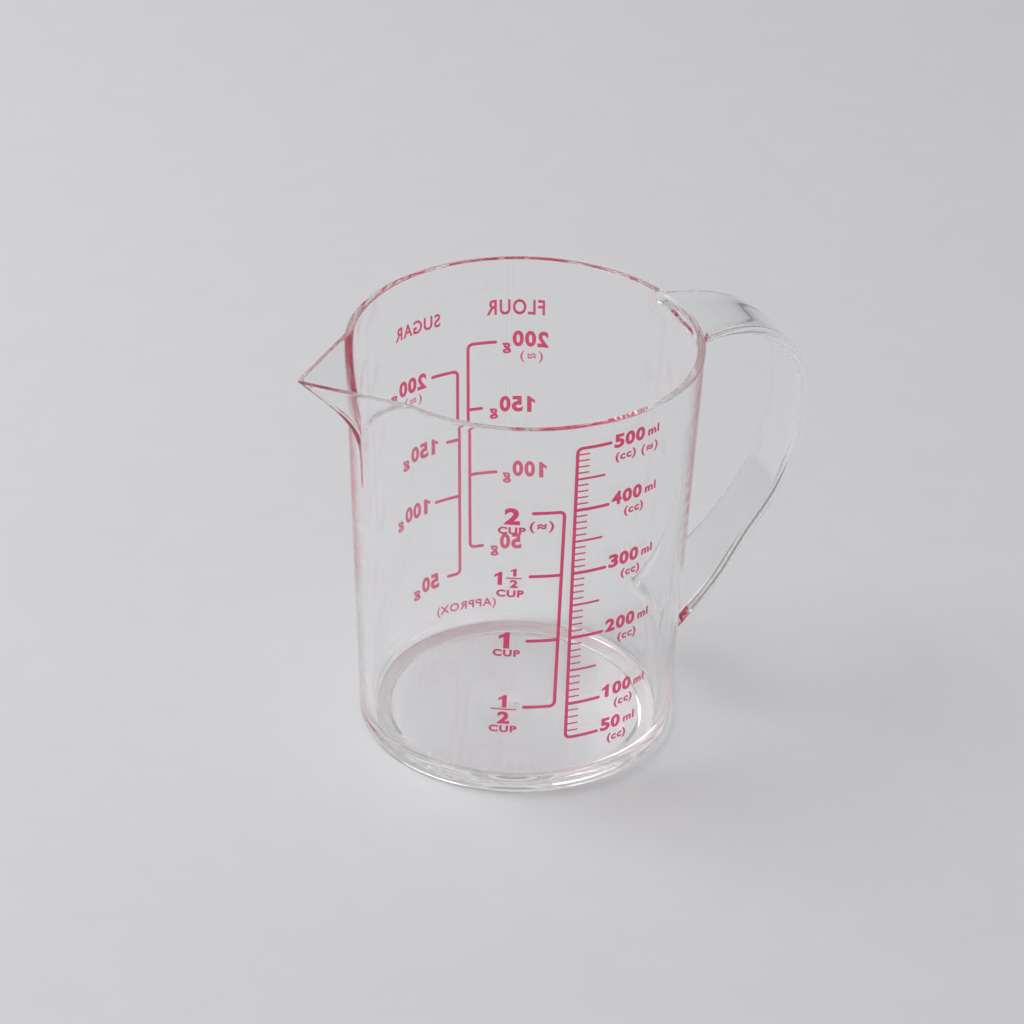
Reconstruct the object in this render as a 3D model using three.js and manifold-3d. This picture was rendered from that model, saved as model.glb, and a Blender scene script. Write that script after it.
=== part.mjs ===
// Clear half-litre measuring cup: tapered vessel with a pouring lip, strap handle, printed scales.
// Millimetres, +Z up, handle towards +X, lip towards -X. The pieces are made about the vessel's
// axis and then moved together, so that the origin is under the middle of the whole object.
import * as THREE from 'three';
import * as BufferGeometryUtils from 'three/addons/utils/BufferGeometryUtils.js';
import Module from 'manifold-3d';

const wasm = await Module();
wasm.setup();

// Vessel
const cupHeight = 110;
const rimRadius = 45.5;
const baseRadius = 40.7;
const wallThickness = 2.8;
const rimEdgeRadius = 0.35;
const baseCornerRadius = 1;
const footRecess = 2;
const footRingWidth = 7;
const footRingSlope = 0.5;
const floorThickness = 2.5;
const innerCornerRadius = 3;

// Pouring lip: a V in plan whose keel runs down to the wall
const lipReach = 15.7;
const lipHalfAngle = THREE.MathUtils.degToRad(44);
const lipWall = 1.8;
const lipTipRadius = 1.2;
const lipRootBlend = 4;
const keelDrop = 16.8;
const keelBlend = 7.2;

// Strap handle, measured along its middle line
const handleDrop = 1.45;
const handleReach = 29.8;
const handleFoot = 26;
const handleRootWidth = 26;
const handleGripWidth = 17;
const handleFootWidth = 23;
const handleThickness = 2.7;
const handleEdgeRadius = 0.9;
const handleGap = 0.3;

// Printed scales: volumes in millilitres, bearings in degrees from the handle, lengths along the wall
const scaleZero = 6;
const filmGap = 0.12;
const spineCoat = 0.14;
const markCoat = 0.08;
const broadLine = 0.85;
const fineLine = 0.45;
const shortMark = 3.6;
const middleMark = 7.8;
const longMark = 8.9;
const gramShortMark = 4.6;
const millilitreBearing = -95.5;
const cupBearing = -99.5;
const flourBearing = 85.5;
const sugarBearing = 89.2;
const smallestVolume = 50;
const fullVolume = 500;
const volumeStep = 10;
const cupVolume = 200;
const flourVolumes = [88, 194, 294, 396];
const sugarVolumes = [53, 164, 251, 355];

// Fineness of the faceted surfaces
const vesselSegments = 104;
const lipCrowding = 0.6;
const lipRings = 7;
const cornerSteps = 3;
const cutterSegments = 180;
const strapSteps = 32;
const strapEdgeSteps = 3;
const filmTurnPerStep = 0.06;

const clearPlastic = new THREE.MeshStandardMaterial({
  color: '#e9ecef', roughness: 0.06, metalness: 0, transparent: true, opacity: 0.35,
});
const scaleInk = new THREE.MeshStandardMaterial({ color: '#cf1640', roughness: 0.5, metalness: 0 });

const taper = (rimRadius - baseRadius) / cupHeight;
const floorHeight = footRecess + floorThickness;
const wallRadius = (height) => baseRadius + taper * height;
const boreRadius = (height) => wallRadius(height) - wallThickness;

// The larger of two values, rounded over where they are within the blend of each other
function smoothMax(a, b, blend) {
  if (blend <= 0) return Math.max(a, b);
  const overlap = Math.max(blend - Math.abs(a - b), 0) / blend;
  return Math.max(a, b) + overlap * overlap * blend / 4;
}

// How far the keel stands out from the wall at a height
function keelRise(height) {
  return smoothMax(lipReach * (1 - (cupHeight - height) / keelDrop), 0, keelBlend);
}

// Radius of the vessel's surface at a bearing from the lip, for a point of the plain profile.
// A point inside the wall gives the channel of the lip, set in so that the lip keeps its own wall.
function lippedRadius(radius, height, bearing) {
  const rise = keelRise(height);
  if (rise === 0) return radius;
  const keelSlope = lipReach / keelDrop;
  const tipInset = lipWall * Math.hypot(1, keelSlope * Math.sin(lipHalfAngle)) / Math.sin(lipHalfAngle);
  const depth = (wallRadius(height) - radius) / wallThickness;
  const tip = wallRadius(height) + rise - depth * tipInset;
  const tipRounding = lipTipRadius / (tip * Math.tan(lipHalfAngle));
  const turn = Math.min(Math.hypot(bearing, tipRounding) - tipRounding, Math.PI / 2 - lipHalfAngle);
  const side = tip * Math.sin(lipHalfAngle) / Math.sin(lipHalfAngle + turn);
  return smoothMax(radius, side, Math.min(lipRootBlend, rise));
}

// Half section of the vessel, from the middle of the underside round to the middle of the floor
function vesselProfile() {
  const lipFoot = cupHeight - keelDrop * (1 + keelBlend / lipReach);
  const footInner = baseRadius - footRingWidth;
  const ringHeights = [];
  for (let i = 0; i <= lipRings; i++) {
    ringHeights.push(THREE.MathUtils.lerp(lipFoot, cupHeight - rimEdgeRadius, i / lipRings));
  }
  const innerCornerTop = floorHeight + innerCornerRadius;
  const outerCorner = wallRadius(baseCornerRadius) - baseCornerRadius;
  const innerCorner = boreRadius(innerCornerTop) - innerCornerRadius;
  const rimInner = boreRadius(cupHeight);
  const section = new THREE.Path();
  section.moveTo(0, footRecess);
  section.lineTo(footInner - footRingSlope, footRecess);
  section.lineTo(footInner, 0);
  section.lineTo(outerCorner, 0);
  section.absarc(outerCorner, baseCornerRadius, baseCornerRadius, -Math.PI / 2, 0, false);
  for (const height of ringHeights) section.lineTo(wallRadius(height), height);
  section.lineTo(rimRadius - rimEdgeRadius, cupHeight);
  section.lineTo(rimInner + rimEdgeRadius, cupHeight);
  for (const height of ringHeights.reverse()) section.lineTo(boreRadius(height), height);
  section.lineTo(boreRadius(innerCornerTop), innerCornerTop);
  section.absarc(innerCorner, innerCornerTop, innerCornerRadius, 0, -Math.PI / 2, true);
  section.lineTo(0, floorHeight);
  return section.getPoints(cornerSteps);
}

// The vessel is a turned shape whose surface is then drawn out to the lip
function makeVessel() {
  const geometry = new THREE.LatheGeometry(vesselProfile(), vesselSegments);
  geometry.rotateX(Math.PI / 2);
  const position = geometry.attributes.position;
  for (let i = 0; i < position.count; i++) {
    const height = position.getZ(i);
    const radius = Math.hypot(position.getX(i), position.getY(i));
    const evenBearing = Math.atan2(position.getY(i), position.getX(i));
    const bearing = evenBearing - lipCrowding * Math.sin(evenBearing);
    const drawn = lippedRadius(radius, height, bearing);
    position.setXYZ(i, -drawn * Math.cos(bearing), -drawn * Math.sin(bearing), height);
  }
  return geometry;
}

function toManifold(geometry) {
  const bare = geometry.clone();
  bare.deleteAttribute('normal');
  bare.deleteAttribute('uv');
  const merged = BufferGeometryUtils.mergeVertices(bare, 1e-4);
  return new wasm.Manifold(new wasm.Mesh({
    numProp: 3,
    vertProperties: new Float32Array(merged.attributes.position.array),
    triVerts: new Uint32Array(merged.index.array),
  }));
}

function fromManifold(solid) {
  const mesh = solid.getMesh();
  const geometry = new THREE.BufferGeometry();
  geometry.setAttribute('position', new THREE.BufferAttribute(mesh.vertProperties, 3));
  geometry.setIndex(new THREE.BufferAttribute(mesh.triVerts, 1));
  geometry.computeVertexNormals();
  return geometry;
}

// Middle line of the strap. Each station says how far out and how far down it lies, as shares of
// the handle's reach and of the height between its two roots, and how far the strap has narrowed
// there from the root's width to the grip's.
function strapStations() {
  const top = cupHeight - handleDrop;
  const at = (out, down, width) => {
    const height = THREE.MathUtils.lerp(top, handleFoot, down);
    return { place: new THREE.Vector3(wallRadius(top) + out * handleReach, 0, height), width };
  };
  const narrowed = (share) => THREE.MathUtils.lerp(handleRootWidth, handleGripWidth, share);
  return [
    at(-0.12, 0, handleRootWidth),
    at(0.25, 0.003, narrowed(0.5)),
    at(0.56, 0.035, narrowed(0.85)),
    at(0.82, 0.108, handleGripWidth),
    at(0.965, 0.195, handleGripWidth),
    at(1, 0.30, handleGripWidth),
    at(0.96, 0.455, handleGripWidth),
    at(0.80, 0.62, handleGripWidth),
    at(0.50, 0.78, handleGripWidth),
    at(0.20, 0.915, (handleGripWidth + handleFootWidth) / 2),
    at(-0.2, 1.05, handleFootWidth),
  ];
}

// The solid that the strap is cut to, which leaves a gap to the wall
function wallCutter() {
  const profile = [
    new THREE.Vector2(0, -handleGap),
    new THREE.Vector2(baseRadius + handleGap, -handleGap),
    new THREE.Vector2(rimRadius + handleGap, cupHeight),
    new THREE.Vector2(rimRadius + handleGap, cupHeight + handleGap),
    new THREE.Vector2(0, cupHeight + handleGap),
  ];
  const cutter = new THREE.LatheGeometry(profile, cutterSegments);
  cutter.rotateX(Math.PI / 2);
  return toManifold(cutter);
}

// A straight strap of unit size is bent along the middle line and cut to the wall. Its section has
// a core of half-width 1 and corners of radius 1, which are scaled apart to the real ones.
function makeHandle() {
  const outline = new THREE.Shape();
  outline.absarc(1, 1, 1, 0, Math.PI / 2, false);
  outline.absarc(-1, 1, 1, Math.PI / 2, Math.PI, false);
  outline.absarc(-1, -1, 1, Math.PI, Math.PI * 3 / 2, false);
  outline.absarc(1, -1, 1, Math.PI * 3 / 2, Math.PI * 2, false);
  const strap = new THREE.ExtrudeGeometry(outline, {
    depth: 1, steps: strapSteps, curveSegments: strapEdgeSteps, bevelEnabled: false,
  });
  const stations = strapStations();
  const middle = new THREE.CatmullRomCurve3(stations.map((station) => station.place), false, 'catmullrom');
  const widths = new THREE.SplineCurve(stations.map((station) => new THREE.Vector2(station.width, 0)));
  const scaled = (value, size) => {
    const core = THREE.MathUtils.clamp(value, -1, 1);
    return core * (size / 2 - handleEdgeRadius) + (value - core) * handleEdgeRadius;
  };
  const position = strap.attributes.position;
  for (let i = 0; i < position.count; i++) {
    const along = THREE.MathUtils.clamp(position.getZ(i), 0, 1);
    const centre = middle.getPoint(along);
    const heading = middle.getTangent(along);
    const across = scaled(position.getX(i), widths.getPoint(along).x);
    const through = scaled(position.getY(i), handleThickness);
    position.setXYZ(i, centre.x - through * heading.z, across, centre.z + through * heading.x);
  }
  return fromManifold(toManifold(strap).subtract(wallCutter()));
}

// Height of the liquid, above the base, at a volume on the scale
function volumeHeight(millilitres) {
  const start = boreRadius(scaleZero);
  const cubed = start ** 3 + 3 * taper * millilitres * 1000 / Math.PI;
  return (Math.cbrt(cubed) - boreRadius(0)) / taper;
}

// A thin line wrapped on the wall, between two bearings in radians and two heights
function wallLine(fromBearing, toBearing, low, high, coat) {
  const bearingSteps = Math.max(1, Math.ceil(Math.abs(toBearing - fromBearing) / filmTurnPerStep));
  const line = new THREE.BoxGeometry(1, 1, 1, bearingSteps, 1, 1);
  line.translate(0.5, 0, 0.5);
  const position = line.attributes.position;
  for (let i = 0; i < position.count; i++) {
    const bearing = THREE.MathUtils.lerp(fromBearing, toBearing, position.getX(i));
    const height = THREE.MathUtils.lerp(low, high, position.getZ(i));
    const radius = wallRadius(height) + filmGap + coat * (0.5 - position.getY(i));
    position.setXYZ(i, radius * Math.cos(bearing), radius * Math.sin(bearing), height);
  }
  return toManifold(line);
}

// One printed scale: a spine and marks that start in it. The side is 1 where the marks run to
// larger bearings and -1 where they run to smaller ones. The spine's coat is the thicker one, so
// that no faces of the two coincide.
function makeScale(spineBearing, side, marks) {
  const middle = THREE.MathUtils.degToRad(spineBearing);
  const arc = (length, height) => length / wallRadius(height);
  const heights = marks.map((mark) => volumeHeight(mark.volume));
  const low = Math.min(...heights) - broadLine / 2;
  const high = Math.max(...heights) + broadLine / 2;
  const halfSpine = arc(broadLine, (low + high) / 2) / 2;
  let film = wallLine(middle - halfSpine, middle + halfSpine, low, high, spineCoat);
  marks.forEach((mark, index) => {
    const height = heights[index];
    const reach = arc(mark.length, height) - halfSpine;
    const start = side > 0 ? middle : middle - reach;
    film = film.add(wallLine(start, start + reach, height - mark.line / 2, height + mark.line / 2, markCoat));
  });
  return fromManifold(film);
}

function millilitreMarks() {
  const marks = [];
  for (let volume = smallestVolume; volume <= fullVolume; volume += volumeStep) {
    if (volume % 100 === 0) marks.push({ volume, length: longMark, line: broadLine });
    else if (volume % 50 === 0) marks.push({ volume, length: middleMark, line: broadLine });
    else marks.push({ volume, length: shortMark, line: fineLine });
  }
  return marks;
}

function cupMarks() {
  const marks = [];
  for (let volume = cupVolume / 2; volume < fullVolume; volume += cupVolume / 2) {
    marks.push({ volume, length: longMark, line: broadLine });
  }
  return marks;
}

// Gram scales carry a long mark at each hundred grams and a short one between
function gramMarks(volumes) {
  return volumes.map((volume, index) => {
    return { volume, length: index % 2 ? longMark : gramShortMark, line: broadLine };
  });
}

const group = new THREE.Group();

function addPiece(name, geometry, material) {
  const mesh = new THREE.Mesh(geometry, material);
  mesh.name = name;
  group.add(mesh);
}

addPiece('cup_body', makeVessel(), clearPlastic);
addPiece('handle', makeHandle(), clearPlastic);
addPiece('scale_ml', makeScale(millilitreBearing, 1, millilitreMarks()), scaleInk);
addPiece('scale_cup', makeScale(cupBearing, -1, cupMarks()), scaleInk);
addPiece('scale_flour', makeScale(flourBearing, -1, gramMarks(flourVolumes)), scaleInk);
addPiece('scale_sugar', makeScale(sugarBearing, 1, gramMarks(sugarVolumes)), scaleInk);

const extent = new THREE.Box3().setFromObject(group);
group.position.set(-(extent.min.x + extent.max.x) / 2, -(extent.min.y + extent.max.y) / 2, 0);

export default group;
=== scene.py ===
"""Looks of a clear half-litre measuring cup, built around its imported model.

The vessel, lip and handle are one transparent moulding here, because light runs through them as one
body. The scales are ink on the outside of its wall. Sizes are in millimetres and bearings in degrees
from the handle, both about the vessel's own axis, and are turned to metres when a mesh is placed.
"""

import logging
import math
from contextlib import contextmanager
from dataclasses import dataclass, field
from enum import Enum
from typing import Any, Callable, Iterator, Sequence

import bpy
from mathutils import Matrix, Vector


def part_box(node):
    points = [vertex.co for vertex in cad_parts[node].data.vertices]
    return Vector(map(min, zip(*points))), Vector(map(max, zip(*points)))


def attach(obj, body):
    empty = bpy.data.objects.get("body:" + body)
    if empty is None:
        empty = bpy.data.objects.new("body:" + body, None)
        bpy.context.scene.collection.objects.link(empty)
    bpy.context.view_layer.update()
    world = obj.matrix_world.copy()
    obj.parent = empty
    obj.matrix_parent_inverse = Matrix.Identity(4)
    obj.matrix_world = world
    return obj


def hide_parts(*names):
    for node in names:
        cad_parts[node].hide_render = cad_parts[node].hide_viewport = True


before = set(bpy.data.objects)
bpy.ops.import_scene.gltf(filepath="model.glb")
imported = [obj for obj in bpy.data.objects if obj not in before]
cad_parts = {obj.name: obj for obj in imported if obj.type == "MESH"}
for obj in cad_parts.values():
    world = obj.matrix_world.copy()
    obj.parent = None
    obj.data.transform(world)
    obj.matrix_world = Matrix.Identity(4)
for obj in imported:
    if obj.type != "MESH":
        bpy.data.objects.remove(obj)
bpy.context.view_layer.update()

MM = 0.001
CUBIC_MM_PER_ML = 1000
# How far the lip's blend swells the sides of the rim, in millimetres.
RIM_SWELL = 0.045
# Light runs a long way along inside the wall before it leaves at the rim.
LIGHT_BOUNCES = 96
IMAGE_WIDTH = 1024

logging.basicConfig(level=logging.INFO, format="%(name)s: %(message)s")
log = logging.getLogger("measuring_cup")

Point = tuple[float, float]


class Side(Enum):
    """Which way marks and numerals run from a scale's spine, seen from outside the wall."""

    LEFT = -1
    RIGHT = 1


def linear(colour: str) -> tuple[float, float, float, float]:
    """Turns an sRGB colour into the linear one that shaders take, by the standard's own curve.

    Args:
        colour: Six hex digits after a hash sign.

    Returns:
        Linear red, green, blue and an alpha of 1.
    """
    channels = [int(colour[i:i + 2], 16) / 255 for i in (1, 3, 5)]
    red, green, blue = (c / 12.92 if c <= 0.04045 else ((c + 0.055) / 1.055) ** 2.4 for c in channels)
    return red, green, blue, 1.0


def add_node(tree: bpy.types.NodeTree, kind: str, values: dict[str, Any] | None = None,
             links: dict[str, bpy.types.NodeSocket] | None = None, **settings: Any) -> bpy.types.Node:
    """Adds a shader node with its settings and links.

    Args:
        tree: The node tree that gets the node.
        kind: The node's type name.
        values: Unlinked values by input name.
        links: Output sockets by the input name that they feed.
        **settings: Properties of the node itself.

    Returns:
        The new node.
    """
    node = tree.nodes.new(kind)
    for name, value in settings.items():
        setattr(node, name, value)
    for name, value in (values or {}).items():
        node.inputs[name].default_value = value
    for name, socket in (links or {}).items():
        tree.links.new(socket, node.inputs[name])
    return node


def new_material(name: str) -> tuple[bpy.types.Material, bpy.types.NodeTree, bpy.types.Node]:
    """Starts a material from an empty tree.

    Args:
        name: What the real material is and how it was made.

    Returns:
        The material, its node tree and its output node.
    """
    material = bpy.data.materials.new(name)
    material.use_nodes = True
    material.node_tree.nodes.clear()
    return material, material.node_tree, add_node(material.node_tree, "ShaderNodeOutputMaterial")


def object_noise(tree: bpy.types.NodeTree, size: float, detail: float) -> bpy.types.NodeSocket:
    """Adds noise that is fixed to the object.

    Args:
        tree: The node tree that gets it.
        size: Size of its coarsest spots, in millimetres.
        detail: How many finer layers it has.

    Returns:
        The socket of its value.
    """
    place = add_node(tree, "ShaderNodeTexCoord").outputs["Object"]
    texture = add_node(tree, "ShaderNodeTexNoise", {"Scale": 1 / (size * MM), "Detail": detail},
                       {"Vector": place})
    return texture.outputs["Fac"]


def activate(*pieces: bpy.types.Object) -> None:
    """Selects only these pieces and makes the first one active."""
    bpy.ops.object.select_all(action="DESELECT")
    for piece in pieces:
        piece.select_set(True)
    bpy.context.view_layer.objects.active = pieces[0]


@contextmanager
def editing(piece: bpy.types.Object) -> Iterator[None]:
    """Keeps a piece in edit mode for the length of a with block."""
    activate(piece)
    bpy.ops.object.mode_set(mode="EDIT")
    yield
    bpy.ops.object.mode_set(mode="OBJECT")


def move_vertices(piece: bpy.types.Object, move: Callable[[Vector], Vector]) -> None:
    """Puts each vertex where a function says.

    Args:
        piece: The mesh to reshape.
        move: Gives the new place of a vertex from its old one.
    """
    for vertex in piece.data.vertices:
        vertex.co = move(vertex.co)
    piece.data.update()


def arc(centre: Point, radius: float, start: float, end: float, steps: int) -> list[Point]:
    """Points of an arc, ends included.

    Args:
        centre: Middle of the arc.
        radius: Its radius.
        start: First angle in degrees.
        end: Last angle in degrees.
        steps: Number of chords.

    Returns:
        The points in order.
    """
    angles = [math.radians(start + (end - start) * i / steps) for i in range(steps + 1)]
    return [(centre[0] + radius * math.cos(a), centre[1] + radius * math.sin(a)) for a in angles]


def smooth_max(a: float, b: float, blend: float) -> float:
    """The larger of two values, rounded over where they are within the blend of each other."""
    if blend <= 0:
        return max(a, b)
    overlap = max(blend - abs(a - b), 0) / blend
    return max(a, b) + overlap * overlap * blend / 4


@dataclass(frozen=True)
class ClearPlastic:
    """Methacrylate, injection moulded against a polished mould.

    It is colourless and glossy. Only the slow waves of the melt's flow and a faint haze of handling
    keep its reflections from being perfect.
    """

    tint: str = "#ffffff"
    ior: float = 1.49
    roughness: float = 0.012
    flow_wave_mm: float = 9.0
    flow_depth_mm: float = 0.004
    flow_detail: float = 1.0

    def material(self) -> bpy.types.Material:
        """Makes the shader."""
        material, tree, output = new_material("methacrylate_polished_moulding")
        wave = object_noise(tree, self.flow_wave_mm, self.flow_detail)
        bump = add_node(tree, "ShaderNodeBump", {"Strength": 1.0, "Distance": self.flow_depth_mm * MM},
                        {"Height": wave})
        plastic = add_node(
            tree, "ShaderNodeBsdfPrincipled",
            {"Base Color": linear(self.tint), "Roughness": self.roughness, "IOR": self.ior,
             "Transmission Weight": 1.0},
            {"Normal": bump.outputs["Normal"]})
        tree.links.new(plastic.outputs["BSDF"], output.inputs["Surface"])
        return material


@dataclass(frozen=True)
class ScreenInk:
    """Crimson two-part ink, screen printed and baked on the wall.

    It is a thin film that lets most red light through and keeps back the rest, so it is as bright
    from behind as from the front, and light that runs along in the wall leaves it pink. It has a soft
    gloss, and the mesh of the screen leaves it faintly uneven.
    """

    thin: str = "#ff5c92"
    thick: str = "#f84a86"
    roughness: float = 0.2
    ior: float = 1.5
    film: float = 0.8
    screen_mesh_mm: float = 0.35
    screen_detail: float = 2.0

    def material(self) -> bpy.types.Material:
        """Makes the shader."""
        material, tree, output = new_material("crimson_screen_ink")
        mottle = object_noise(tree, self.screen_mesh_mm, self.screen_detail)
        colour = add_node(tree, "ShaderNodeMix", data_type="RGBA", links={"Factor": mottle})
        colour_a, colour_b = (s for s in colour.inputs if s.type == "RGBA")
        colour_a.default_value = linear(self.thin)
        colour_b.default_value = linear(self.thick)
        mixed = next(s for s in colour.outputs if s.type == "RGBA")
        ink = add_node(tree, "ShaderNodeBsdfPrincipled",
                       {"Roughness": self.roughness, "IOR": self.ior, "Transmission Weight": self.film},
                       {"Base Color": mixed})
        tree.links.new(ink.outputs["BSDF"], output.inputs["Surface"])
        return material


@dataclass(frozen=True)
class PaintedBoard:
    """Pale grey painted board for the floor, matt, with a faint mottle of the roller."""

    light: str = "#d6d6d8"
    dark: str = "#d2d2d4"
    mottle_mm: float = 14.0
    mottle_detail: float = 4.0
    roughness: float = 0.85
    specular: float = 0.2

    def material(self) -> bpy.types.Material:
        """Makes the shader."""
        material, tree, output = new_material("pale_painted_board")
        mottle = object_noise(tree, self.mottle_mm, self.mottle_detail)
        ramp = add_node(tree, "ShaderNodeValToRGB", links={"Fac": mottle})
        ramp.color_ramp.elements[0].color = linear(self.dark)
        ramp.color_ramp.elements[1].color = linear(self.light)
        board = add_node(tree, "ShaderNodeBsdfPrincipled",
                         {"Roughness": self.roughness, "Specular IOR Level": self.specular},
                         {"Base Color": ramp.outputs["Color"]})
        tree.links.new(board.outputs["BSDF"], output.inputs["Surface"])
        return material


@dataclass
class PouringLip:
    """The V-shaped lip that the wall is drawn out to, on the side away from the handle."""

    reach: float = 15.55
    half_angle: float = math.radians(44)
    wall: float = 1.15
    tip_radius: float = 0.9
    root_blend: float = 0.4
    keel_drop: float = 16.8
    keel_blend: float = 7.2

    def keel_rise(self, below_rim: float) -> float:
        """How far the keel stands out from the wall, at a depth below the rim."""
        return smooth_max(self.reach * (1 - below_rim / self.keel_drop), 0, self.keel_blend)

    def foot_depth(self) -> float:
        """How far below the rim the keel meets the wall."""
        return self.keel_drop * (1 + self.keel_blend / self.reach)


@dataclass
class Vessel:
    """The tapered round vessel with its foot ring, floor, rim and lip."""

    height: float
    rim_radius: float
    axis_x: float
    lip: PouringLip = field(default_factory=PouringLip)
    base_radius: float = 40.7
    base_wall: float = 3.3
    rim_wall: float = 2.05
    rim_edge: float = 0.35
    base_corner: float = 1.6
    foot_recess: float = 0.8
    foot_ring: float = 7.0
    foot_slope: float = 0.8
    floor: float = 2.6
    inner_corner: float = 3.0
    gate_radius: float = 1.0
    gate_height: float = 0.3
    turns: int = 360
    lip_crowding: float = 0.6
    lip_rings: int = 26
    plain_rings: int = 8
    ring_margin: float = 1.0
    corner_steps: int = 8
    seam_weld_m: float = 1e-6

    def outer(self, height: float) -> float:
        """Radius of the outside of the plain wall at a height."""
        return self.base_radius + (self.rim_radius - self.base_radius) * height / self.height

    def wall(self, height: float) -> float:
        """Thickness of the wall, which the mould's draft thins towards the rim."""
        return self.base_wall + (self.rim_wall - self.base_wall) * height / self.height

    def bore(self, height: float) -> float:
        """Radius of the inside of the plain wall at a height."""
        return self.outer(height) - self.wall(height)

    def profile(self) -> list[Point]:
        """Half section of the vessel.

        Returns:
            Radius and height of each point, from the gate mark under the base to the middle of the floor.
        """
        floor_top = self.foot_recess + self.floor
        ring_inner = self.base_radius - self.foot_ring
        half_way = ring_inner / 2
        corner_top = floor_top + self.inner_corner
        outer_corner = self.outer(self.base_corner) - self.base_corner
        lip_foot = self.height - self.lip.foot_depth()
        lip_top = self.height - self.rim_edge
        plain_rise = lip_foot - self.base_corner
        lip_rise = lip_top - lip_foot
        heights = [self.base_corner + plain_rise * i / self.plain_rings for i in range(1, self.plain_rings)]
        heights += [lip_foot + lip_rise * i / self.lip_rings for i in range(self.lip_rings)]
        gate_end = self.foot_recess - self.gate_height
        points = [(0, gate_end), (self.gate_radius, self.foot_recess), (half_way, self.foot_recess),
                  (ring_inner - self.foot_slope, self.foot_recess), (ring_inner, 0)]
        points += arc((outer_corner, self.base_corner), self.base_corner, -90, 0, self.corner_steps)
        points += [(self.outer(z), z) for z in heights]
        points += arc((self.rim_radius - self.rim_edge, lip_top), self.rim_edge, 0, 90, self.corner_steps)
        rim_inner = self.bore(self.height)
        points += arc((rim_inner + self.rim_edge, lip_top), self.rim_edge, 90, 180, self.corner_steps)
        inner_heights = [z for z in reversed(heights) if z > corner_top + self.ring_margin]
        points += [(self.bore(z), z) for z in inner_heights]
        corner_middle = self.bore(corner_top) - self.inner_corner
        points += arc((corner_middle, corner_top), self.inner_corner, 0, -90, self.corner_steps)
        points += [(half_way, floor_top), (0, floor_top)]
        return points

    def lipped_radius(self, radius: float, height: float, bearing: float) -> float:
        """Radius of the surface where the lip draws it out.

        Args:
            radius: Radius of the plain shape's point.
            height: Its height.
            bearing: Its bearing from the lip, in radians.

        Returns:
            The radius with the lip.
        """
        lip = self.lip
        rise = lip.keel_rise(self.height - height)
        if rise <= 0:
            return radius
        slope = lip.reach / lip.keel_drop
        tip_inset = lip.wall * math.hypot(1, slope * math.sin(lip.half_angle)) / math.sin(lip.half_angle)
        depth = (self.outer(height) - radius) / self.wall(height)
        tip = self.outer(height) + rise - depth * tip_inset
        rounding = lip.tip_radius / (tip * math.tan(lip.half_angle))
        turn = min(math.hypot(bearing, rounding) - rounding, math.pi / 2 - lip.half_angle)
        side = tip * math.sin(lip.half_angle) / math.sin(lip.half_angle + turn)
        return smooth_max(radius, side, min(lip.root_blend, rise))

    def build(self) -> bpy.types.Object:
        """Spins the half section round and draws the lip out of it."""
        bpy.ops.mesh.primitive_plane_add(size=MM)
        vessel = bpy.context.object
        vessel.name = "vessel"
        points = [Vector((r, 0, z)) * MM for r, z in self.profile()]
        with editing(vessel):
            bpy.ops.mesh.select_all(action="SELECT")
            bpy.ops.mesh.merge(type="CENTER")
            bpy.ops.transform.translate(value=points[0])
            for before, after in zip(points, points[1:]):
                bpy.ops.mesh.extrude_vertices_move(TRANSFORM_OT_translate={"value": after - before})
            bpy.ops.mesh.select_all(action="SELECT")
            bpy.ops.mesh.spin(steps=self.turns, angle=2 * math.pi, center=(0, 0, 0), axis=(0, 0, 1))
            bpy.ops.mesh.select_all(action="SELECT")
            bpy.ops.mesh.remove_doubles(threshold=self.seam_weld_m)
            bpy.ops.mesh.normals_make_consistent(inside=False)

        def draw_out(place: Vector) -> Vector:
            even = math.atan2(place.y, place.x)
            bearing = even - self.lip_crowding * math.sin(even)
            radius = self.lipped_radius(math.hypot(place.x, place.y) / MM, place.z / MM, bearing) * MM
            x = self.axis_x * MM - radius * math.cos(bearing)
            return Vector((x, -radius * math.sin(bearing), place.z))

        move_vertices(vessel, draw_out)
        return vessel


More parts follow.
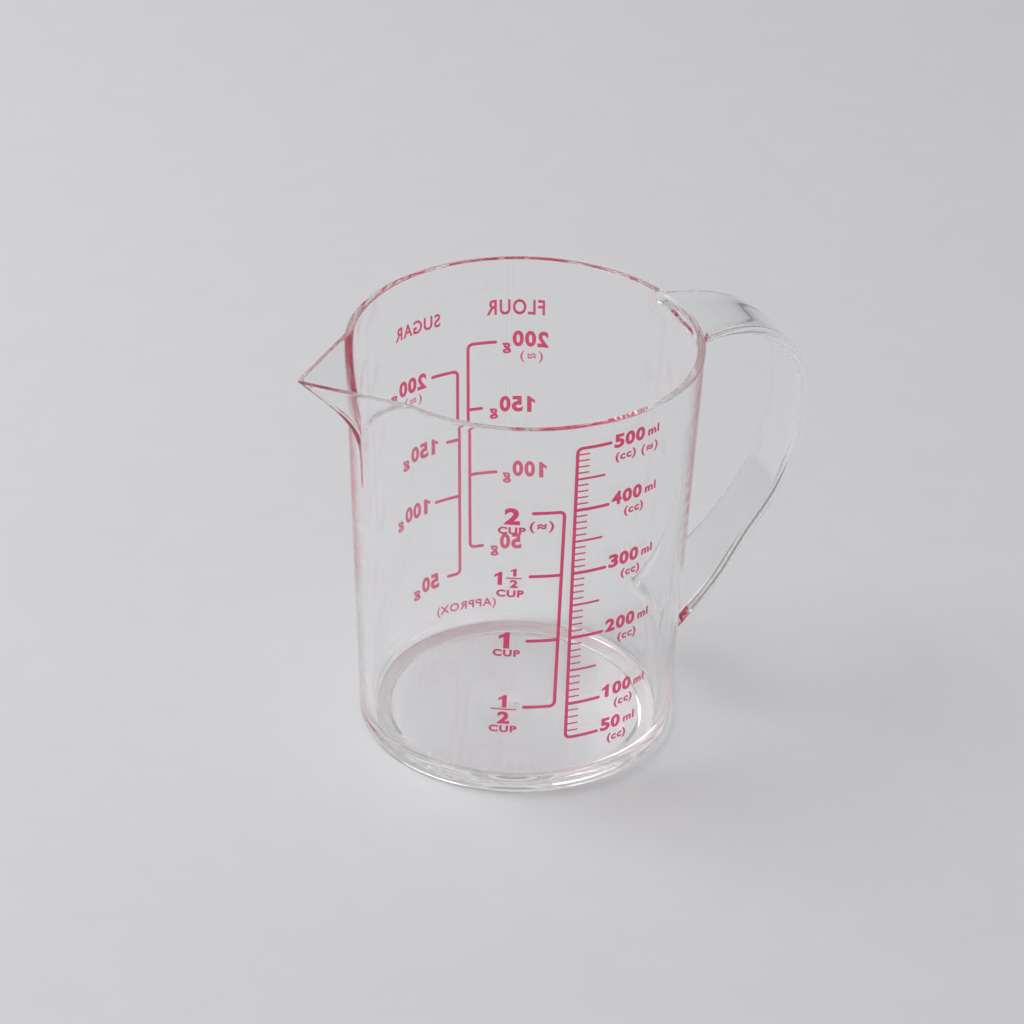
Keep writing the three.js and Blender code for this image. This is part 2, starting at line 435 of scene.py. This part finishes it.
@dataclass
class StrapHandle:
    """The flat strap that runs out from the rim, down, and back to the wall near the base."""

    vessel: Vessel
    drop: float = 1.6
    reach: float = 29.6
    foot: float = 26.0
    root_width: float = 26.0
    grip_width: float = 17.0
    foot_width: float = 23.0
    thickness: float = 3.0
    edge_radius: float = 1.3
    root_fillet: float = 1.6
    rim_step: float = 0.1
    seat_depth: float = 1.3
    seat_halvings: int = 30
    root_share: float = 0.2
    root_crowding: float = 0.10
    length_steps: int = 170
    edge_steps: int = 5
    face_steps: int = 6

    def stations(self) -> list[tuple[float, float, float]]:
        """Places and widths along the middle line.

        Returns:
            Radius, height and width of each station, from the rim to the lower root.
        """
        grip, foot = self.grip_width, self.foot_width
        # Share of the reach, share of the way down to the foot, and width.
        shares = [(-0.12, 0, self.root_width), (0.25, 0.003, (self.root_width + grip) / 2),
                  (0.56, 0.035, self.root_width * 0.15 + grip * 0.85), (0.82, 0.108, grip),
                  (0.965, 0.195, grip), (1, 0.30, grip), (0.96, 0.455, grip), (0.80, 0.62, grip),
                  (0.50, 0.78, grip), (0.20, 0.915, (grip + foot) / 2), (-0.2, 1.05, foot)]
        top = self.vessel.height - self.drop
        root = self.vessel.outer(top)
        fall = self.foot - top
        return [(root + out * self.reach, top + fall * down, width) for out, down, width in shares]

    def middle(self, along: float) -> tuple[Vector, Vector]:
        """Point of the curve through the stations.

        Args:
            along: Share of the stations passed, from 0 to 1.

        Returns:
            Radius, height and width there, and how they change.
        """
        points = [Vector(s) for s in self.stations()]
        points = [2 * points[0] - points[1]] + points + [2 * points[-1] - points[-2]]
        spans = len(points) - 3
        span = min(int(along * spans), spans - 1)
        t = along * spans - span
        a, b, c, d = points[span:span + 4]
        pull_in, pull_out = (c - a) / 2, (d - b) / 2
        curve = (2 * b - 2 * c + pull_in + pull_out, -3 * b + 3 * c - 2 * pull_in - pull_out, pull_in, b)
        place = ((curve[0] * t + curve[1]) * t + curve[2]) * t + curve[3]
        heading = (3 * curve[0] * t + 2 * curve[1]) * t + curve[2]
        return place, heading

    def section(self) -> list[tuple[float, float, float, float]]:
        """Outline of the strap's section.

        Returns:
            Each point's place among the middles of the rounded edges, as shares of the half width and
            half thickness, and then its place on the edge, as shares of the edge radius.
        """
        corner = [(1, 1, 0), (-1, 1, 90), (-1, -1, 180), (1, -1, 270)]
        outline = []
        for index, (x, y, start) in enumerate(corner):
            outline += [(x, y, px, py) for px, py in arc((0, 0), 1, start, start + 90, self.edge_steps)]
            next_x, next_y, _ = corner[(index + 1) % 4]
            if x != next_x:
                for i in range(1, self.face_steps):
                    share = i / self.face_steps
                    outline.append((x + (next_x - x) * share, y, 0, y))
        return outline

    def surface(self, corner: tuple[float, float, float, float], along: float) -> Vector:
        """Point of the strap's skin before it is seated, in millimetres from the vessel's axis."""
        place, heading = self.middle(along)
        radius, height, width = place
        direction = Vector((heading.x, heading.y)).normalized()
        x, y, edge_x, edge_y = corner
        across = x * (width / 2 - self.edge_radius) + edge_x * self.edge_radius
        through = y * (self.thickness / 2 - self.edge_radius) + edge_y * self.edge_radius
        return Vector((radius - through * direction.y, across, height + through * direction.x))

    def standoff(self, point: Vector) -> float:
        """How far a point lies outside the wall."""
        return math.hypot(point.x, point.y) - self.vessel.outer(point.z)

    def seat(self, corner: tuple[float, float, float, float], inner: float, outer: float) -> float:
        """Where a line along the strap sinks into the wall to the seat's depth.

        Args:
            corner: Which line of the skin.
            inner: A share of the length whose point lies deeper than the seat.
            outer: A share whose point lies outside the wall.

        Returns:
            The share of the length at the seat.
        """
        for _ in range(self.seat_halvings):
            middle = (inner + outer) / 2
            if self.standoff(self.surface(corner, middle)) < -self.seat_depth:
                inner = middle
            else:
                outer = middle
        return outer

    def build(self) -> bpy.types.Object:
        """Draws the section along the middle line, with both ends seated in the wall."""
        outline = self.section()
        count = len(outline)
        bpy.ops.mesh.primitive_circle_add(vertices=count, radius=1.0, fill_type="NGON")
        strap = bpy.context.object
        strap.name = "strap"
        step = {"value": (0, 0, 1 / self.length_steps)}
        with editing(strap):
            bpy.ops.mesh.select_all(action="SELECT")
            for _ in range(self.length_steps):
                bpy.ops.mesh.extrude_region_move(TRANSFORM_OT_translate=step)
        upper, lower = self.root_share, 1 - self.root_share
        ends = [(self.seat(corner, 0, upper), self.seat(corner, 1, lower)) for corner in outline]

        def place(point: Vector) -> Vector:
            turn = math.atan2(point.x, point.y) % (2 * math.pi)
            index = round(turn / (2 * math.pi) * count) % count
            start, end = ends[index]
            share = min(max(point.z, 0), 1)
            crowded = share - self.root_crowding * math.sin(2 * math.pi * share)
            along = start + (end - start) * crowded
            skin = self.surface(outline[index], along)
            gap = max(self.standoff(skin), 0)
            if gap < self.root_fillet:
                middle, _ = self.middle(along)
                outward = skin - Vector((middle.x, 0, middle.y))
                rise = self.root_fillet - math.sqrt(self.root_fillet ** 2 - (self.root_fillet - gap) ** 2)
                skin += outward.normalized() * rise
                skin.z = min(skin.z, self.vessel.height - self.rim_step)
            return Vector((skin.x + self.vessel.axis_x, skin.y, skin.z)) * MM

        move_vertices(strap, place)
        with editing(strap):
            bpy.ops.mesh.select_all(action="SELECT")
            bpy.ops.mesh.normals_make_consistent(inside=False)
        return strap


@dataclass
class Moulding:
    """Vessel and handle joined as the mould makes them."""

    vessel: Vessel
    handle: StrapHandle
    crease: float = math.radians(32)

    def build(self, material: bpy.types.Material) -> bpy.types.Object:
        """Joins the two forms and dresses them in clear plastic."""
        body = self.vessel.build()
        strap = self.handle.build()
        activate(body)
        union = body.modifiers.new("union", "BOOLEAN")
        union.operation = "UNION"
        union.solver = "EXACT"
        union.object = strap
        bpy.ops.object.modifier_apply(modifier=union.name)
        bpy.data.objects.remove(strap)
        activate(body)
        bpy.ops.object.shade_smooth_by_angle(angle=self.crease)
        body.name = "clear_moulding"
        body.data.name = body.name
        body.data.materials.clear()
        body.data.materials.append(material)
        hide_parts("cup_body", "handle")
        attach(body, "root")
        log.info("%s: %d faces", body.name, len(body.data.polygons))
        return body


# Outline of a numeral 1 with a flag and no foot, in a box of one by one.
FLAGGED_ONE = [(1, 0), (1, 1), (0.62, 1), (0.46, 0.90), (0, 0.77), (0, 0.58), (0.44, 0.70), (0.44, 0)]


@dataclass(frozen=True)
class Label:
    """One word or number of a scale, laid flat in its own box.

    The left edge is measured along the wall from the spine and the bottom edge from the mark.
    """

    text: str
    left: float
    bottom: float
    width: float
    height: float
    weight: float = 0.042


@dataclass
class PrintedScale:
    """One printed scale: a spine, its marks and their labels, as a coat of ink wrapped on the wall.

    A mark is held as its height, length and width, a label with the height of its mark, and the bar
    of a fraction as its left end, right end and height.
    """

    name: str
    vessel: Vessel
    side: Side
    top_bearing: float
    foot_bearing: float
    marks: list[tuple[float, float, float]] = field(default_factory=list)
    labels: list[tuple[float, Label]] = field(default_factory=list)
    bars: list[tuple[float, float, float]] = field(default_factory=list)
    bar_width: float = 0.36
    clear: float = 0.01
    spine_width: float = 0.85
    corner: float = 1.3
    dip: float = 0.03
    coat: float = 0.07
    cut_spacing: float = 0.8
    weld: float = 1e-4
    cap_steps: int = 8
    letter_steps: int = 5
    digit_gap: float = 0.32
    one_share: float = 0.72
    letter_space: float = 1.14

    def stroke(self, path: Sequence[Point], width: float, round_start: bool = True) -> list[Point]:
        """Outline of a line of even width with a round end.

        Args:
            path: Points of the middle of the line.
            width: Width of the line.
            round_start: Whether its start is round too, or cut square.

        Returns:
            The closed outline, anticlockwise.
        """
        half = width / 2
        points = [Vector(p) for p in path]
        headings = []
        for index in range(len(points)):
            before = points[index] - points[index - 1] if index else points[1] - points[0]
            after = points[index + 1] - points[index] if index + 1 < len(points) else before
            headings.append((before.normalized() + after.normalized()).normalized())
        right = [p + Vector((h.y, -h.x)) * half for p, h in zip(points, headings)]
        left = [p + Vector((-h.y, h.x)) * half for p, h in zip(points, headings)]
        end_turn = math.degrees(math.atan2(headings[-1].y, headings[-1].x))
        start_turn = math.degrees(math.atan2(headings[0].y, headings[0].x))
        end_cap = arc(tuple(points[-1]), half, end_turn - 90, end_turn + 90, self.cap_steps)
        start_cap = [tuple(left[0]), tuple(right[0])]
        if round_start:
            start_cap = arc(tuple(points[0]), half, start_turn + 90, start_turn + 270, self.cap_steps)
        sides = [tuple(p) for p in right[1:-1]], [tuple(p) for p in reversed(left[1:-1])]
        return sides[0] + end_cap + sides[1] + start_cap

    def outlines(self) -> list[list[Point]]:
        """Outlines of the spine, which turns into its top and bottom marks, and of the other marks."""
        sign = self.side.value
        ordered = sorted(self.marks)
        (low, low_length, _), (high, high_length, _) = ordered[0], ordered[-1]
        r = self.corner
        if sign > 0:
            low_arc = arc((r, low + r), r, -90, -180, self.cap_steps)
            high_arc = arc((r, high - r), r, 180, 90, self.cap_steps)
        else:
            low_arc = arc((-r, low + r), r, -90, 0, self.cap_steps)
            high_arc = arc((-r, high - r), r, 0, 90, self.cap_steps)
        path = [(sign * low_length, low)] + low_arc + high_arc + [(sign * high_length, high)]
        outlines = [self.stroke(path, self.spine_width)]
        start = sign * (self.spine_width / 2 + self.clear)
        for height, length, width in ordered[1:-1]:
            mark = [(start, height), (sign * length, height)]
            outlines.append(self.stroke(mark, width, round_start=False))
        for left, right, height in self.bars:
            outlines.append(self.stroke([(left, height), (right, height)], self.bar_width))
        return outlines

    def flat_sheet(self) -> bpy.types.Object:
        """Lays out the whole scale flat, with the thickness of its coat.

        Returns:
            A mesh with lengths along the wall in X, heights in Y and the coat in Z, in millimetres.
        """
        lines = self.plate(self.outlines(), self.name)
        words = [glyph for height, label in self.labels for glyph in self.lettering(height, label)]
        activate(lines, *words)
        bpy.ops.object.join()
        return lines

    def lettering(self, mark: float, label: Label) -> list[bpy.types.Object]:
        """Makes one label as solids of the coat's thickness.

        Args:
            mark: Height of the mark that the label belongs to.
            label: The word and its box.

        Returns:
            The label's glyphs in their places on the flat sheet.
        """
        bottom = mark + label.bottom
        if not label.text.isdigit():
            size = (label.width, label.height)
            return [self.glyph(label.text, label.weight, (label.left, bottom), size)]
        count = len(label.text)
        gap = 0.0 if count == 1 else self.digit_gap
        cell = (label.width - gap * (count - 1)) / count
        glyphs = []
        for index, digit in enumerate(label.text):
            corner = (label.left + index * (cell + gap), bottom)
            width = cell * self.one_share if digit == "1" and count > 1 else cell
            glyphs.append(self.glyph(digit, label.weight, corner, (width, label.height)))
        return glyphs

    def glyph(self, text: str, weight: float, corner: Point, size: Point) -> bpy.types.Object:
        """Makes a word, or one numeral, that fills a box.

        Args:
            text: What it says.
            weight: How far its strokes are widened, as a share of the letter size.
            corner: Lower left corner of its box.
            size: Width and height of its box.

        Returns:
            The glyph as a mesh on the flat sheet.
        """
        if text == "1":
            word = self.plate([FLAGGED_ONE], "one")
        else:
            bpy.ops.object.select_all(action="DESELECT")
            bpy.ops.object.text_add()
            word = bpy.context.object
            word.data.body = text
            word.data.offset = weight
            word.data.space_character = self.letter_space
            word.data.resolution_u = self.letter_steps
            word.data.extrude = (self.dip + self.coat) / 2
            bpy.ops.object.convert(target="MESH")
        xs = [v.co.x for v in word.data.vertices]
        ys = [v.co.y for v in word.data.vertices]
        low_x, low_y = min(xs), min(ys)
        scale_x = size[0] / (max(xs) - low_x)
        scale_y = size[1] / (max(ys) - low_y)
        move_vertices(word, lambda co: Vector((corner[0] + (co.x - low_x) * scale_x,
                                               corner[1] + (co.y - low_y) * scale_y, co.z)))
        return word

    def plate(self, outlines: Sequence[Sequence[Point]], name: str) -> bpy.types.Object:
        """Fills closed outlines, as thick as the coat.

        Args:
            outlines: Outlines that don't touch each other.
            name: Name of the new piece.

        Returns:
            The filled plates as one mesh.
        """
        curve = bpy.data.curves.new(name, "CURVE")
        curve.dimensions = "2D"
        curve.fill_mode = "BOTH"
        curve.extrude = (self.dip + self.coat) / 2
        for outline in outlines:
            spline = curve.splines.new("POLY")
            spline.points.add(len(outline) - 1)
            for point, (x, y) in zip(spline.points, outline):
                point.co = (x, y, 0, 1)
            spline.use_cyclic_u = True
        plates = bpy.data.objects.new(name, curve)
        bpy.context.scene.collection.objects.link(plates)
        activate(plates)
        bpy.ops.object.convert(target="MESH")
        return plates

    def build(self, material: bpy.types.Material, node: str) -> bpy.types.Object:
        """Wraps the flat sheet on the wall and dresses it in ink.

        Args:
            material: The ink.
            node: The CAD node that the scale stands for.

        Returns:
            The finished scale.
        """
        sheet = self.flat_sheet()
        xs = [v.co.x for v in sheet.data.vertices]
        heights = [height for height, _, _ in self.marks]
        low, high = min(heights), max(heights)
        with editing(sheet):
            bpy.ops.mesh.select_all(action="SELECT")
            bpy.ops.mesh.remove_doubles(threshold=self.weld)
            cut = math.ceil(min(xs) / self.cut_spacing) * self.cut_spacing
            while cut < max(xs):
                bpy.ops.mesh.select_all(action="SELECT")
                bpy.ops.mesh.bisect(plane_co=(cut, 0, 0), plane_no=(1, 0, 0))
                cut += self.cut_spacing
            bpy.ops.mesh.select_all(action="SELECT")
            bpy.ops.mesh.normals_make_consistent(inside=False)
        lift = (self.coat - self.dip) / 2

        def wrap(co: Vector) -> Vector:
            share = (co.y - low) / (high - low)
            spine = math.radians(self.foot_bearing + (self.top_bearing - self.foot_bearing) * share)
            wall = self.vessel.outer(co.y)
            bearing = spine + co.x / wall
            radius = wall + co.z + lift
            x = self.vessel.axis_x + radius * math.cos(bearing)
            return Vector((x, radius * math.sin(bearing), co.y)) * MM

        move_vertices(sheet, wrap)
        sheet.name = f"printed_{self.name}"
        sheet.data.name = sheet.name
        sheet.data.materials.clear()
        sheet.data.materials.append(material)
        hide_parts(node)
        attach(sheet, "root")
        log.info("%s: %d faces", sheet.name, len(sheet.data.polygons))
        return sheet


@dataclass
class ScaleSet:
    """The four printed scales, whose marks follow the volume of a vessel with an even wall.

    The height of the marks' zero is fitted to the printed marks and lies above the floor, so the
    vessel holds a little more than they say.
    """

    vessel: Vessel
    zero: float = 6.0
    even_wall: float = 2.8
    fine: float = 0.38
    middle: float = 0.58
    broad: float = 0.85
    ml_lengths: tuple[float, float, float] = (3.05, 7.4, 8.8)
    ml_labels_left: float = 9.8
    cup_length: float = 7.8
    gram_lengths: Point = (3.7, 7.6)
    gram_step: int = 50

    def level(self, millilitres: float) -> float:
        """Height of the mark of a volume, reckoned with a wall of even thickness."""
        taper = (self.vessel.rim_radius - self.vessel.base_radius) / self.vessel.height
        lowest = self.vessel.outer(self.zero) - self.even_wall
        cubed = lowest ** 3 + 3 * taper * millilitres * CUBIC_MM_PER_ML / math.pi
        return self.zero + (cubed ** (1 / 3) - lowest) / taper

    def millilitres(self) -> PrintedScale:
        """The scale of 50 to 500 ml with its fine marks."""
        scale = PrintedScale("scale_ml", self.vessel, Side.RIGHT, -95.9, -95.1)
        start = self.ml_labels_left
        fine_length, middle_length, long_length = self.ml_lengths
        for volume in range(50, 501, 10):
            height = self.level(volume)
            if volume % 100 == 0 or volume == 50:
                scale.marks.append((height, long_length, self.broad))
                width = 9.25 if volume >= 100 else 6.2
                sunk = 1.2 if volume == 500 else 0
                cc_left = {500: start + 0.5, 50: start + 2.3}.get(volume, start + 3.9)
                scale.labels += [
                    (height, Label(str(volume), start, -0.75 - sunk, width, 3.9)),
                    (height, Label("ml", start + width + 1.15, -0.4 - sunk, 3.85, 2.45, 0.035)),
                    (height, Label("(cc)", cc_left, -5.2 - sunk, 6.05, 3.1, 0.03)),
                ]
            elif volume % 50 == 0:
                scale.marks.append((height, middle_length, self.middle))
            else:
                scale.marks.append((height, fine_length, self.fine))
        scale.labels.append((self.level(500), Label("(≈)", start + 8.4, -7.0, 5.6, 3.3, 0.02)))
        return scale

    def cups(self) -> PrintedScale:
        """The scale of a half to two cups of 200 ml."""
        scale = PrintedScale("scale_cup", self.vessel, Side.LEFT, -99.2, -99.7)
        heights = [self.level(volume) for volume in (100, 200, 300, 400)]
        scale.marks = [(height, self.cup_length, self.broad) for height in heights]
        half, one, one_and_half, two = heights
        scale.bars = [(-13.7, -10.0, one_and_half - 0.6), (-16.0, -9.8, half - 0.8)]
        scale.labels = [
            (two, Label("2", -14.95, -3.45, 3.95, 4.9)),
            (two, Label("CUP", -16.4, -6.25, 6.9, 2.1)),
            (two, Label("(≈)", -8.6, -5.8, 6.1, 3.4, 0.02)),
            (one_and_half, Label("1", -16.75, -2.8, 2.0, 3.9)),
            (one_and_half, Label("1", -12.75, 0.0, 1.5, 2.25)),
            (one_and_half, Label("2", -12.8, -3.45, 2.0, 2.35)),
            (one_and_half, Label("CUP", -16.1, -6.3, 6.9, 2.15)),
            (one, Label("1", -14.9, -2.4, 2.7, 4.9)),
            (one, Label("CUP", -16.3, -4.85, 6.9, 2.1)),
            (half, Label("1", -14.3, -0.3, 2.15, 3.85)),
            (half, Label("2", -14.4, -5.3, 3.15, 3.75)),
            (half, Label("CUP", -16.45, -7.95, 7.1, 2.1)),
        ]
        return scale

    def grams(self, name: str, side: Side, bearings: Point, volumes: Sequence[float],
              heading: str) -> PrintedScale:
        """A scale of 50 to 200 grams of a dry good.

        Args:
            name: The CAD node's name.
            side: The side of the spine that the marks are on.
            bearings: Bearing of the spine at the top mark and at the lowest one.
            volumes: Volumes of 50, 100, 150 and 200 grams.
            heading: The word over the scale.

        Returns:
            The scale.
        """
        scale = PrintedScale(name, self.vessel, side, *bearings)
        short_length, long_length = self.gram_lengths
        for index, volume in enumerate(volumes):
            height = self.level(volume)
            grams = str(self.gram_step * (index + 1))
            is_long = index % 2 == 1
            scale.marks.append((height, long_length if is_long else short_length, self.broad))
            width = 9.6 if index else 6.1
            if side is Side.RIGHT:
                left = 9.65 if is_long else 6.8
                scale.labels.append((height, Label(grams, left, -2.4, width, 4.5)))
                scale.labels.append((height, Label("g", left + width + 0.7, -3.7, 2.7, 3.0, 0.03)))
            else:
                left = (-12.2 if is_long else -8.7) - width
                scale.labels.append((height, Label(grams, left, -1.4, width, 4.6)))
                scale.labels.append((height, Label("g", left + width + 0.4, -3.4, 2.3, 3.1, 0.03)))
        top = self.level(volumes[-1])
        if side is Side.RIGHT:
            scale.labels.append((top, Label("(≈)", 11.2, -6.6, 6.0, 3.2, 0.0)))
            scale.labels.append((top, Label(heading, 5.1, 14.2, 15.3, 3.8, 0.02)))
            scale.labels.append((0, Label("(APPROX)", -10.75, 5.7, 18.3, 3.2, 0.02)))
        else:
            scale.labels.append((top, Label("(≈)", -20.3, -6.0, 6.0, 3.4, 0.0)))
            scale.labels.append((top, Label(heading, -20.8, 7.9, 15.6, 4.4, 0.02)))
        return scale

    def build(self, material: bpy.types.Material) -> list[bpy.types.Object]:
        """Prints all four scales."""
        flour = self.grams("scale_flour", Side.LEFT, (86.55, 86.0), (89, 196, 296, 398), "FLOUR")
        sugar = self.grams("scale_sugar", Side.RIGHT, (90.4, 90.3), (54, 167, 252, 359), "SUGAR")
        scales = [self.millilitres(), self.cups(), flour, sugar]
        return [scale.build(material, scale.name) for scale in scales]


@dataclass
class Studio:
    """A pale floor in a room that is brighter above than at the sides, with a large soft lamp.

    The sizes and places here are in metres, but for the drop of the floor, which is in millimetres.
    """

    vessel: Vessel
    handle_bearing: float = math.radians(23.5)
    floor_size: float = 6.0
    floor_drop: float = 0.05
    horizon: str = "#7c7c7d"
    ceiling: str = "#dadadb"
    lamp_power: float = 9.6
    lamp_size: float = 0.8
    lamp_place: tuple[float, float, float] = (-0.80, 0.10, 1.10)
    lamp_target: tuple[float, float, float] = (0, 0, 0.05)

    def turned(self, point: Sequence[float]) -> Vector:
        """Turns a place that is given as the camera sees it, about the vessel's axis."""
        moved = Matrix.Rotation(-self.handle_bearing, 4, "Z") @ Vector(point)
        return moved + Vector((self.vessel.axis_x * MM, 0, 0))

    def build(self) -> None:
        """Makes the floor, the lamp and the world."""
        bpy.ops.object.select_all(action="DESELECT")
        bpy.ops.mesh.primitive_plane_add(size=self.floor_size, location=(0, 0, -self.floor_drop * MM))
        floor = bpy.context.object
        floor.name = "floor"
        floor.data.materials.append(PaintedBoard().material())
        place = self.turned(self.lamp_place)
        bpy.ops.object.light_add(type="AREA", location=place)
        lamp = bpy.context.object
        lamp.name = "soft_lamp"
        lamp.data.size = self.lamp_size
        lamp.data.energy = self.lamp_power
        target = self.turned(self.lamp_target)
        lamp.rotation_euler = (target - place).to_track_quat("-Z", "Y").to_euler()
        world = bpy.data.worlds.new("soft_room")
        bpy.context.scene.world = world
        world.use_nodes = True
        tree = world.node_tree
        aim = add_node(tree, "ShaderNodeTexCoord").outputs["Generated"]
        rise = add_node(tree, "ShaderNodeSeparateXYZ", links={"Vector": aim}).outputs["Z"]
        room = add_node(tree, "ShaderNodeValToRGB", links={"Fac": rise})
        room.color_ramp.elements[0].color = linear(self.horizon)
        room.color_ramp.elements[1].color = linear(self.ceiling)
        tree.links.new(room.outputs["Color"], tree.nodes["Background"].inputs["Color"])


@dataclass
class Camera:
    """The photograph's camera, fitted to the rim, the base and the outlines of the cup.

    Its distance and height are in millimetres and its angles in radians.
    """

    studio: Studio
    focal_px: float = 4738.27
    distance: float = 1043.5
    height: float = 686.05
    pitch: float = 0.540618
    yaw: float = -0.00202736
    roll: float = 0.02779
    sensor: float = 36.0

    def build(self) -> bpy.types.Object:
        """Places the camera and makes it the scene's own."""
        forward = Vector((math.sin(self.yaw) * math.cos(self.pitch),
                          math.cos(self.yaw) * math.cos(self.pitch), -math.sin(self.pitch)))
        level = Vector((math.cos(self.yaw), -math.sin(self.yaw), 0))
        upright = level.cross(forward)
        right = level * math.cos(self.roll) + upright * math.sin(self.roll)
        up = upright * math.cos(self.roll) - level * math.sin(self.roll)
        aim = Matrix((right, up, -forward)).transposed().to_4x4()
        turn = Matrix.Rotation(-self.studio.handle_bearing, 4, "Z")
        data = bpy.data.cameras.new("photo_camera")
        data.sensor_width = self.sensor
        data.lens = self.focal_px / IMAGE_WIDTH * self.sensor
        data.dof.use_dof = False
        camera = bpy.data.objects.new("photo_camera", data)
        bpy.context.scene.collection.objects.link(camera)
        place = self.studio.turned((0, -self.distance * MM, self.height * MM))
        camera.matrix_world = Matrix.Translation(place) @ turn @ aim
        bpy.context.scene.camera = camera
        return camera


def main() -> None:
    """Builds the cup and its studio."""
    scene = bpy.context.scene
    scene.view_settings.view_transform = "Standard"
    scene.cycles.max_bounces = LIGHT_BOUNCES
    scene.cycles.transmission_bounces = LIGHT_BOUNCES
    scene.cycles.glossy_bounces = LIGHT_BOUNCES
    # The filter would roughen the plastic for light that the floor and the ink have scattered.
    scene.cycles.blur_glossy = 0.0
    _, cup_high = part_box("cup_body")
    rim_radius = cup_high.y / MM - RIM_SWELL
    # The vessel is round, so its half width is also its reach from its axis towards the handle.
    vessel = Vessel(height=cup_high.z / MM, rim_radius=rim_radius, axis_x=(cup_high.x - cup_high.y) / MM)
    Moulding(vessel, StrapHandle(vessel)).build(ClearPlastic().material())
    ScaleSet(vessel).build(ScreenInk().material())
    studio = Studio(vessel)
    studio.build()
    Camera(studio).build()


if __name__ == "__main__":
    main()
